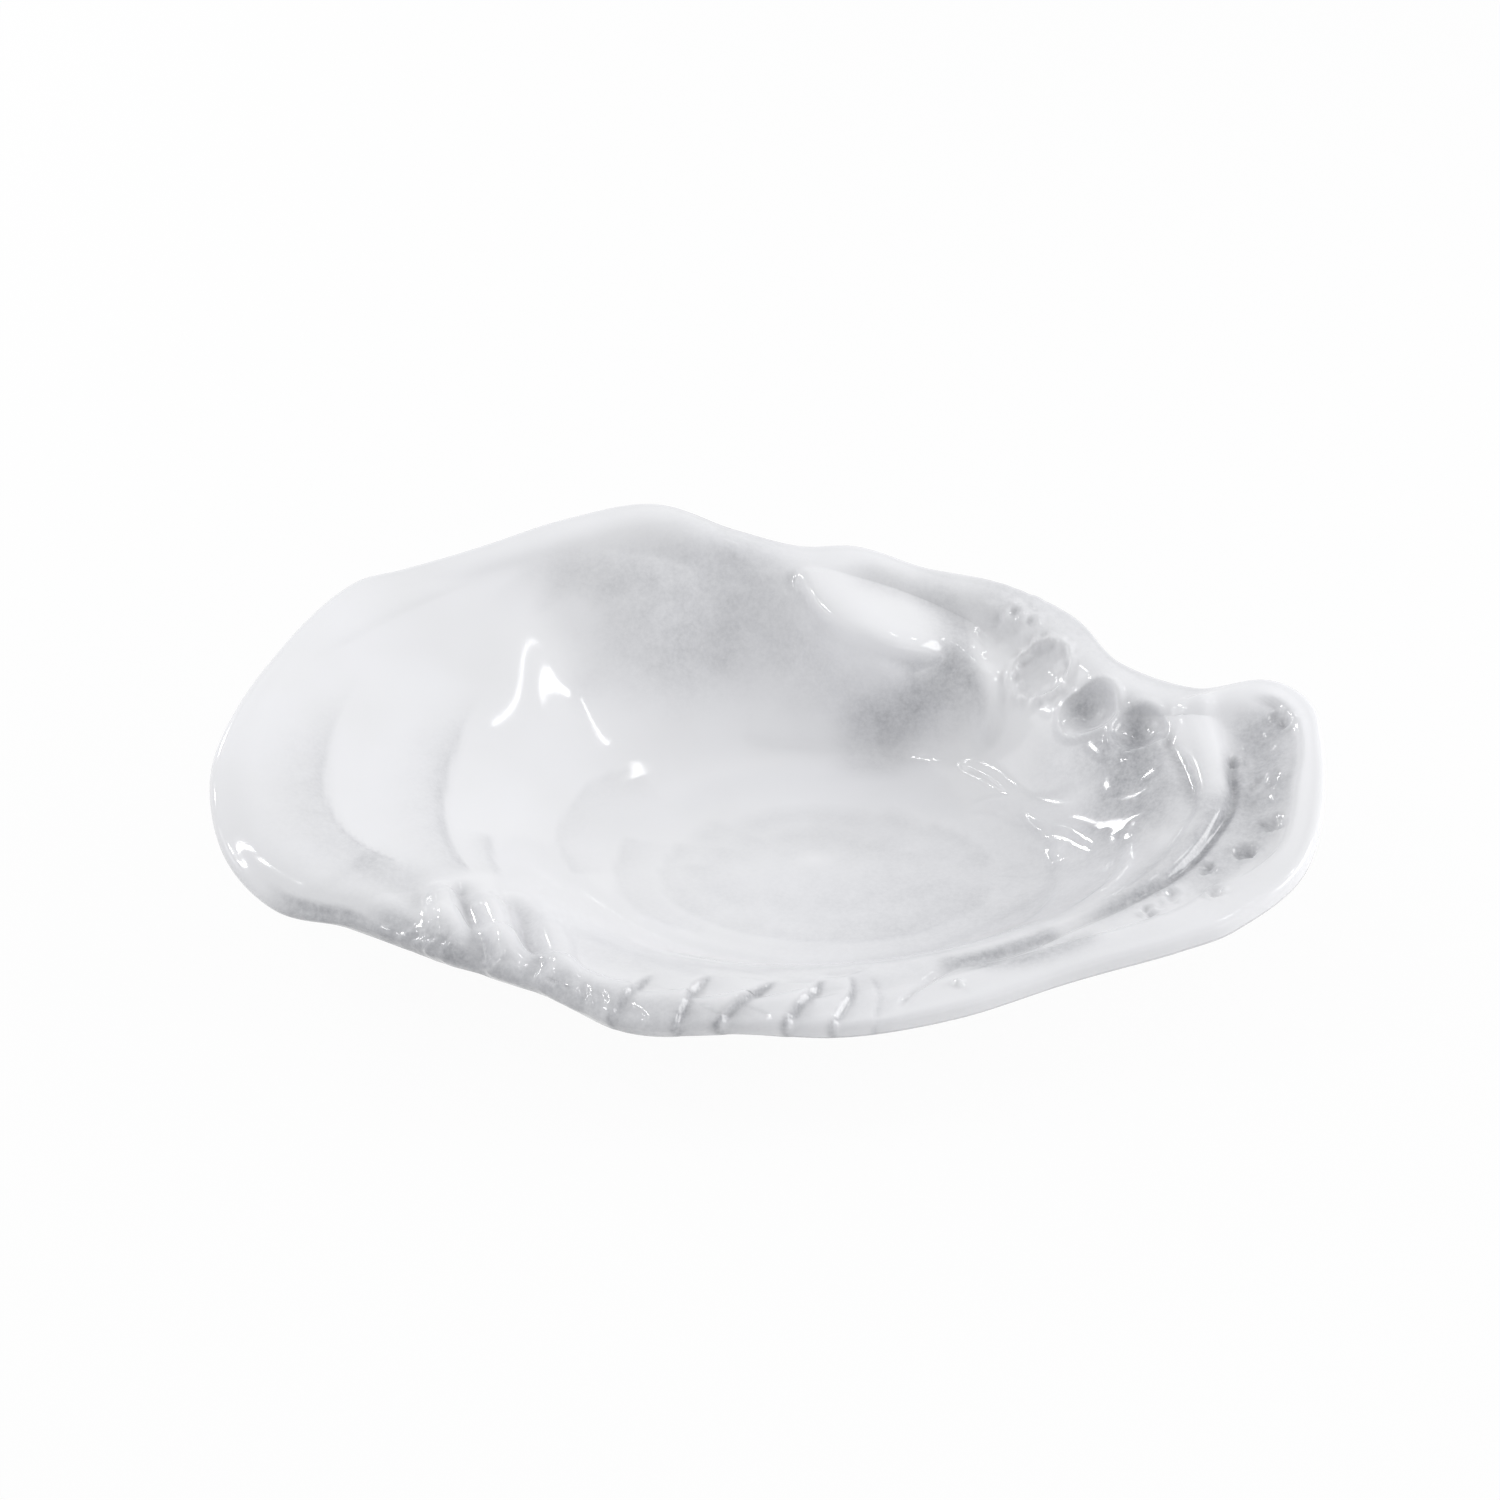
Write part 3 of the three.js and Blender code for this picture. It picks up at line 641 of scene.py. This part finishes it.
def top_pooling_and_painted_shade(surface, height):
    """Pooled glaze and painted shade of the food side and the lip: pools and painted shade drawn in plan,
    painted shade drawn upright on the steep back wall, and grey in every recess of the relief, partly
    gathered glaze, partly painted shade."""
    x, y = in_plan(surface)
    flat = pooling_and_painted_shade(x, y, (pools_and_painted_shade, lip_pools_and_painted_shade))
    # painted shade of the steep back wall: the hollow and the pocket under the ledge
    upright_shade = pooling_and_painted_shade(x, surface[..., 2], (back_wall_painted_shade,)) * smooth((y - BACK_WALL_FROM) / BACK_WALL_RUN)
    # darkening of every recess: partly glaze gathered there, partly painted shade
    gathered_glaze_and_shade = np.zeros(x.shape)
    gathered_glaze_and_shade[:len(height)] = np.clip((recess(height) - RECESS_FROM) / RECESS_DEPTH, 0, RECESS_SHARE)
    return 1 - (1 - flat) * (1 - upright_shade) * (1 - gathered_glaze_and_shade)


def point_values(piece, name, values):
    """Writes one value for each point of a closed skin, with nothing at its two poles."""
    attribute = piece.data.attributes.new(name, "FLOAT", "POINT")
    attribute.data.foreach_set("value", np.concatenate([[0], values.ravel(), [0]]))


def lowest_nearby(height):
    """Lowest relief among the neighbours of each grid point, for the hidden layers under the glaze."""
    lowest = height.copy()
    for row_step in (-3, -2, -1, 0, 1, 2, 3):
        for station_step in (-3, -1, 0, 1, 3):
            shifted = np.roll(np.roll(height, row_step, 0), station_step, 1)
            lowest = np.minimum(lowest, shifted)
    return lowest


def lip_rings(rim, radius, height, angles):
    """Rings round the lip: half of a squared circle about the rim, on which the relief soon dies out."""
    surface, normal, outward = (part[-1] for part in rim)
    turn = angles[:, None]
    powers = np.abs(np.cos(turn)) ** LIP_SQUARENESS + np.sin(turn) ** LIP_SQUARENESS
    squared = powers ** (-1 / LIP_SQUARENESS)
    reach = squared * (radius + height[None, :] * ((1 + np.cos(turn)) / 2) ** 2)
    over = (reach * np.cos(turn))[..., None] * normal
    return surface + over + (reach * np.sin(turn))[..., None] * outward


def glaze_depth(angles):
    """Thickness of the glaze round the lip, which thins to a feather at its edge."""
    thinning = smooth((angles - GLAZE_THINS_FROM) / (GLAZE_WRAP - GLAZE_THINS_FROM))
    return (GLAZE + (GLAZE_FEATHER - GLAZE) * thinning)[:, None]


def foot_drop(under):
    """Underside with the foot ring: within half a band of the ring's oval, the surface runs down to the
    table over a rounded edge."""
    x, y = under[..., 0], under[..., 1] - FLOOR_BACKSET
    share = np.hypot(x / FOOT_HALF[0], y / FOOT_HALF[1])
    slope = np.hypot(x / FOOT_HALF[0] ** 2, y / FOOT_HALF[1] ** 2) / np.maximum(share, TINY)
    distance = np.abs(share - 1) / np.maximum(slope, TINY)
    foot = smooth((FOOT_BAND / 2 + FOOT_ROUND - distance) / (2 * FOOT_ROUND))
    shaped = under.copy()
    shaped[..., 2] = under[..., 2] * (1 - foot)
    return shaped


def closed_skin(name, first_pole, rings, last_pole):
    """Closed mesh through rings of stations, with a fan of triangles to a pole at each end."""
    count = rings.shape[1]
    points = np.concatenate([[first_pole], rings.reshape(-1, 3), [last_pole]])
    index = 1 + np.arange(rings.shape[0] * count).reshape(rings.shape[:2])
    ahead = np.roll(index, -1, 1)
    quads = np.stack([index[:-1], index[1:], ahead[1:], ahead[:-1]], -1).reshape(-1, 4)
    pole = np.zeros(count, int)
    fans = np.concatenate([np.stack([pole, index[0], ahead[0]], -1),
                           np.stack([index[-1], pole + len(points) - 1, ahead[-1]], -1)])
    mesh = bpy.data.meshes.new(name)
    mesh.vertices.add(len(points))
    mesh.vertices.foreach_set("co", ((points + SHIFT) * MM).ravel())
    corners = np.concatenate([quads.ravel(), fans.ravel()])
    mesh.loops.add(len(corners))
    mesh.loops.foreach_set("vertex_index", corners)
    sizes = np.concatenate([np.full(len(quads), 4), np.full(len(fans), 3)])
    mesh.polygons.add(len(sizes))
    mesh.polygons.foreach_set("loop_start", np.concatenate([[0], np.cumsum(sizes)[:-1]]))
    mesh.polygons.foreach_set("use_smooth", np.ones(len(sizes), bool))
    mesh.update(calc_edges=True)
    mesh.validate()
    piece = bpy.data.objects.new(name, mesh)
    bpy.context.scene.collection.objects.link(piece)
    return piece


# Wall grids, relief and the shift that brings the middle of the bowl's box to the CAD part's
top = wall(TOP_ROWS)
top_relief = relief(top[0] + top[1] * WALL / 2)
hidden = wall(HIDDEN_ROWS)
row_steps = [top_rows // rows for rows, top_rows in zip(HIDDEN_ROWS, TOP_ROWS) for _ in range(rows)]
hidden_picks = np.minimum(np.cumsum(row_steps) - 1, len(top_relief) - 1)
hidden_relief = lowest_nearby(top_relief)[hidden_picks]
under = wall(UNDER_ROWS)

WRAP_TURNS = np.linspace(0, GLAZE_WRAP, LIP_STEPS)[1:]
food_side = top[0] + top[1] * (WALL / 2 + top_relief)[..., None]
outer_lip = lip_rings(top, WALL / 2, top_relief[-1], WRAP_TURNS)
whole_lip = lip_rings(top, WALL / 2, top_relief[-1], np.linspace(0, np.pi, 2 * LIP_STEPS))
box_points = np.concatenate([food_side.reshape(-1, 3), whole_lip.reshape(-1, 3)])
box_middle = (box_points.min(0) + box_points.max(0)) / 2
SHIFT = np.array([*((cad_low + cad_high) / 2 / MM).xy, 0]) - [box_middle[0], box_middle[1], 0]


def floor_pole(over):
    """Point over the middle of the floor, where the rings of a skin close."""
    return np.array([0, FLOOR_BACKSET, FLOOR_MIDDLE + over])


def glaze_coat():
    """Glaze: the food side with its relief, the wrap round the lip, and the hidden layer to the middle."""
    inner_lip = lip_rings(hidden, WALL / 2 - glaze_depth(WRAP_TURNS), hidden_relief[-1], WRAP_TURNS)
    inner = hidden[0] + hidden[1] * (WALL / 2 - GLAZE + hidden_relief)[..., None]
    rings = np.concatenate([food_side, outer_lip, inner_lip[::-1], inner[::-1]])
    piece = closed_skin("glaze_coat_gloss", floor_pole(WALL / 2), rings, floor_pole(WALL / 2 - GLAZE))
    # share of pooled glaze and painted shade on the food side and the lip
    point_values(piece, "pooling_and_painted_shade", top_pooling_and_painted_shade(rings, top_relief))
    return piece


def clay_body():
    """Clay: the hidden layer under the glaze, the lip, and the smooth underside with the foot ring."""
    turn = np.linspace(0, np.pi, 2 * LIP_STEPS)[1:-1]
    depth = np.where(turn[:, None] <= GLAZE_WRAP, glaze_depth(turn) + SEAT, GLAZE_FEATHER + SEAT)
    over = hidden[0] + hidden[1] * (WALL / 2 - GLAZE - SEAT + hidden_relief)[..., None]
    lip = lip_rings(hidden, WALL / 2 - depth, hidden_relief[-1], turn)
    below = foot_drop(under[0] - under[1] * (WALL / 2 - GLAZE_FEATHER - SEAT))
    rings = np.concatenate([over, lip, below[::-1]])
    pole = floor_pole(-WALL / 2 + GLAZE_FEATHER + SEAT)
    piece = closed_skin("clay_body_glazed", floor_pole(WALL / 2 - GLAZE - SEAT), rings, pole)
    point_values(piece, "bare_clay", smooth((BARE_UP_TO + BARE_FADE - rings[..., 2]) / BARE_FADE))
    # painted shade under the edge of the lip, on the underside
    point_values(piece, "pooling_and_painted_shade", pooling_and_painted_shade(*in_plan(rings), (lip_pools_and_painted_shade,)))
    return piece


# Colours: the two ends that a patchy tint runs between, and the grey of thick glaze, which also serves as
# painted shade
GLAZE_TINTS = ((0.855, 0.855, 0.865), (0.875, 0.875, 0.89))
OUTER_TINTS = ((0.845, 0.845, 0.85), (0.87, 0.87, 0.88))
CLAY_TINTS = ((0.66, 0.63, 0.58), (0.80, 0.78, 0.73))
POOLED_AND_SHADE_GREY = (0.40, 0.405, 0.425)


class Nodes:
    """Material and its nodes: a method adds one node and returns its output, or links one to the shader."""

    def __init__(self, name):
        self.material = bpy.data.materials.new(name)
        self.material.use_nodes = True
        self.tree = self.material.node_tree
        self.shader = self.tree.nodes["Principled BSDF"]
        self.place = self.tree.nodes.new("ShaderNodeTexCoord").outputs["Object"]

    def noise(self, size, detail=2.0, roughness=0.5):
        """Noise whose lumps are about the given size in millimetres."""
        node = self.tree.nodes.new("ShaderNodeTexNoise")
        node.inputs["Scale"].default_value = 1 / (size * MM)
        node.inputs["Detail"].default_value = detail
        node.inputs["Roughness"].default_value = roughness
        self.tree.links.new(self.place, node.inputs["Vector"])
        return node.outputs["Fac"]

    def attribute(self, name):
        node = self.tree.nodes.new("ShaderNodeAttribute")
        node.attribute_name = name
        return node.outputs["Fac"]

    def span(self, value, source, target, smooth_run=False):
        """Maps a run of values, as its low and high end, to another run, and holds it at the ends."""
        node = self.tree.nodes.new("ShaderNodeMapRange")
        node.interpolation_type = "SMOOTHSTEP" if smooth_run else "LINEAR"
        self.tree.links.new(value, node.inputs["Value"])
        for socket, number in zip(("From Min", "From Max", "To Min", "To Max"), (*source, *target)):
            node.inputs[socket].default_value = number
        return node.outputs["Result"]

    def times(self, first, second):
        node = self.tree.nodes.new("ShaderNodeMath")
        node.operation = "MULTIPLY"
        self.tree.links.new(first, node.inputs[0])
        self.tree.links.new(second, node.inputs[1])
        return node.outputs[0]

    def mix(self, share, first, second):
        """Colour that runs from the first to the second as the share goes from 0 to 1."""
        node = self.tree.nodes.new("ShaderNodeMix")
        node.data_type = "RGBA"
        self.tree.links.new(share, node.inputs["Factor"])
        for socket, colour in ((node.inputs[6], first), (node.inputs[7], second)):
            if isinstance(colour, tuple):
                socket.default_value = (*colour, 1)
            else:
                self.tree.links.new(colour, socket)
        return node.outputs[2]

    def bump(self, height, distance, strength):
        """Fine unevenness, with a height of 1 standing for the distance in millimetres."""
        node = self.tree.nodes.new("ShaderNodeBump")
        node.inputs["Distance"].default_value = distance * MM
        node.inputs["Strength"].default_value = strength
        self.tree.links.new(height, node.inputs["Height"])
        self.tree.links.new(node.outputs["Normal"], self.shader.inputs["Normal"])

    def colour(self, output):
        self.tree.links.new(output, self.shader.inputs["Base Color"])

    def roughness(self, output):
        self.tree.links.new(output, self.shader.inputs["Roughness"])


def white_glaze():
    """Gloss white glaze: cool white where it is thin, mottled grey where it pools and where shade is
    painted, with an uneven skin.
    """
    nodes = Nodes("white_glaze")
    blotches = nodes.span(nodes.noise(7, detail=3.0, roughness=0.6), (0.3, 0.7), (0.75, 1.2))
    specks = nodes.span(nodes.noise(1.3, roughness=0.7), (0.3, 0.7), (0.8, 1.2))
    # share of the grey: pooled glaze and painted shade, mottled by blotches and specks
    share = nodes.times(nodes.times(nodes.attribute("pooling_and_painted_shade"), blotches), specks)
    tint = nodes.span(nodes.noise(38), (0.35, 0.65), (0.0, 1.0), smooth_run=True)
    clean = nodes.mix(tint, *GLAZE_TINTS)
    nodes.colour(nodes.mix(share, clean, POOLED_AND_SHADE_GREY))
    nodes.roughness(nodes.span(nodes.noise(16), (0.3, 0.7), (0.07, 0.13)))
    nodes.bump(nodes.noise(9), distance=0.08, strength=0.35)
    return nodes.material


def outer_glaze():
    """Underside: the same glaze, a little duller, grey with painted shade under the edge of the lip, wiped
    off the foot ring, where the fired clay shows.
    """
    nodes = Nodes("outer_glaze")
    bare = nodes.attribute("bare_clay")
    tint = nodes.span(nodes.noise(32), (0.35, 0.65), (0.0, 1.0), smooth_run=True)
    clean = nodes.mix(tint, *OUTER_TINTS)
    # painted shade under the edge of the lip, in the grey of thick glaze
    glaze = nodes.mix(nodes.attribute("pooling_and_painted_shade"), clean, POOLED_AND_SHADE_GREY)
    grain = nodes.span(nodes.noise(0.9, detail=3.0, roughness=0.7), (0.35, 0.65), (0.0, 1.0))
    clay = nodes.mix(grain, *CLAY_TINTS)
    nodes.colour(nodes.mix(bare, glaze, clay))
    nodes.roughness(nodes.span(bare, (0.0, 1.0), (0.13, 0.75)))
    nodes.bump(nodes.noise(7), distance=0.08, strength=0.4)
    return nodes.material


glaze = glaze_coat()
glaze.data.materials.append(white_glaze())
clay = clay_body()
clay.data.materials.append(outer_glaze())
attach(glaze, "root")
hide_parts("glaze_coat")
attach(clay, "root")
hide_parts("bowl_body")

# Studio, in metres from here on, apart from the camera's place
CAMERA_PLACE = np.array([-17.9, -746.2, 631.1])
CAMERA_TILT = math.radians(52)
CAMERA_ANGLE = math.radians(24)
CAMERA_NEAR = 0.01
FLOOR_HALF_SIDE = 6.0
FLOOR_COLOUR = (0.8, 0.8, 0.8, 1)
FLOOR_GLOW = 0.95
ROOM_COLOUR = (0.97, 0.98, 1, 1)
ROOM_LIGHT = 0.615
WHITE = (1, 1, 1, 1)

# Soft boxes as azimuth and elevation in degrees, distance, width and height, and power in watts
SOFT_BOXES = {
    "right_broad": (5, 20, 1.0, 0.6, 0.4, 3.7),
    "frame_top": (26, 62, 1.0, 0.23, 0.03, 0.25),
    "frame_arm": (16, 47, 1.0, 0.09, 0.1, 0.35),
    "back_left": (131, 25, 1.0, 0.1, 0.1, 1.4),
    "left_mid": (150, 36, 1.0, 0.06, 0.08, 0.4),
    "left_high": (168, 50, 1.0, 0.05, 0.08, 0.35),
    "pit_light": (181, 53, 1.0, 0.05, 0.05, 0.4),
    "left_soft": (178, 34, 1.0, 0.4, 0.25, 0.45),
    "back_high": (130, 55, 1.2, 1.0, 1.0, 0.4),
    "front_left": (-150, 40, 1.1, 0.6, 0.6, 0.2),
    "fill_box": (-50, 7, 1.2, 1.2, 0.3, 1.15),
}


def camera():
    """Camera of the photograph, level and turned down to the bowl."""
    data = bpy.data.cameras.new("camera")
    data.angle = CAMERA_ANGLE
    data.clip_start = CAMERA_NEAR
    item = bpy.data.objects.new("camera", data)
    item.location = (CAMERA_PLACE + SHIFT) * MM
    item.rotation_euler = (CAMERA_TILT, 0, 0)
    bpy.context.scene.collection.objects.link(item)
    bpy.context.scene.camera = item


def soft_box(name, azimuth, elevation, distance, width, height, power):
    """Rectangular area light at an azimuth and elevation from the bowl, turned towards it."""
    data = bpy.data.lights.new(name, "AREA")
    data.shape = "RECTANGLE"
    data.size = width
    data.size_y = height
    data.energy = power
    item = bpy.data.objects.new(name, data)
    turn, rise = math.radians(azimuth), math.radians(elevation)
    level = math.cos(rise)
    place = Vector((level * math.cos(turn), level * math.sin(turn), math.sin(rise))) * distance
    item.location = place
    item.rotation_euler = (-place).to_track_quat("-Z", "Y").to_euler()
    bpy.context.scene.collection.objects.link(item)


def seen_directly(nodes, links):
    """1 for rays from the camera, in a reflection or through glass, which see the white surroundings."""
    path = nodes.new("ShaderNodeLightPath")
    seen = path.outputs["Is Camera Ray"]
    for kind in ("Is Glossy Ray", "Is Transmission Ray"):
        either = nodes.new("ShaderNodeMath")
        either.operation = "MAXIMUM"
        links.new(seen, either.inputs[0])
        links.new(path.outputs[kind], either.inputs[1])
        seen = either.outputs[0]
    return seen


def floor():
    """Pale floor: the camera sees white light with a part of the floor's shade, so a faint shadow stays."""
    mesh = bpy.data.meshes.new("floor")
    half = FLOOR_HALF_SIDE
    corners = [(-half, -half, 0), (half, -half, 0), (half, half, 0), (-half, half, 0)]
    mesh.from_pydata(corners, [], [(0, 1, 2, 3)])
    item = bpy.data.objects.new("floor", mesh)
    bpy.context.scene.collection.objects.link(item)
    material = bpy.data.materials.new("floor_white")
    material.use_nodes = True
    nodes, links = material.node_tree.nodes, material.node_tree.links
    nodes.clear()
    diffuse = nodes.new("ShaderNodeBsdfDiffuse")
    diffuse.inputs["Color"].default_value = FLOOR_COLOUR
    glow = nodes.new("ShaderNodeEmission")
    glow.inputs["Color"].default_value = WHITE
    share = nodes.new("ShaderNodeMath")
    share.operation = "MULTIPLY"
    share.inputs[1].default_value = FLOOR_GLOW
    mix = nodes.new("ShaderNodeMixShader")
    out = nodes.new("ShaderNodeOutputMaterial")
    links.new(seen_directly(nodes, links), share.inputs[0])
    links.new(share.outputs[0], mix.inputs["Fac"])
    links.new(diffuse.outputs[0], mix.inputs[1])
    links.new(glow.outputs[0], mix.inputs[2])
    links.new(mix.outputs[0], out.inputs["Surface"])
    mesh.materials.append(material)


def world():
    """White surroundings for the camera and reflections, and a softer, slightly cool light for the rest."""
    item = bpy.data.worlds.new("studio")
    bpy.context.scene.world = item
    item.use_nodes = True
    nodes, links = item.node_tree.nodes, item.node_tree.links
    nodes.clear()
    room = nodes.new("ShaderNodeBackground")
    room.inputs["Color"].default_value = ROOM_COLOUR
    room.inputs["Strength"].default_value = ROOM_LIGHT
    white = nodes.new("ShaderNodeBackground")
    white.inputs["Color"].default_value = WHITE
    mix = nodes.new("ShaderNodeMixShader")
    out = nodes.new("ShaderNodeOutputWorld")
    links.new(seen_directly(nodes, links), mix.inputs["Fac"])
    links.new(room.outputs[0], mix.inputs[1])
    links.new(white.outputs[0], mix.inputs[2])
    links.new(mix.outputs[0], out.inputs["Surface"])


camera()
floor()
world()
for name, values in SOFT_BOXES.items():
    soft_box(name, *values)
bpy.context.scene.view_settings.view_transform = "Standard"
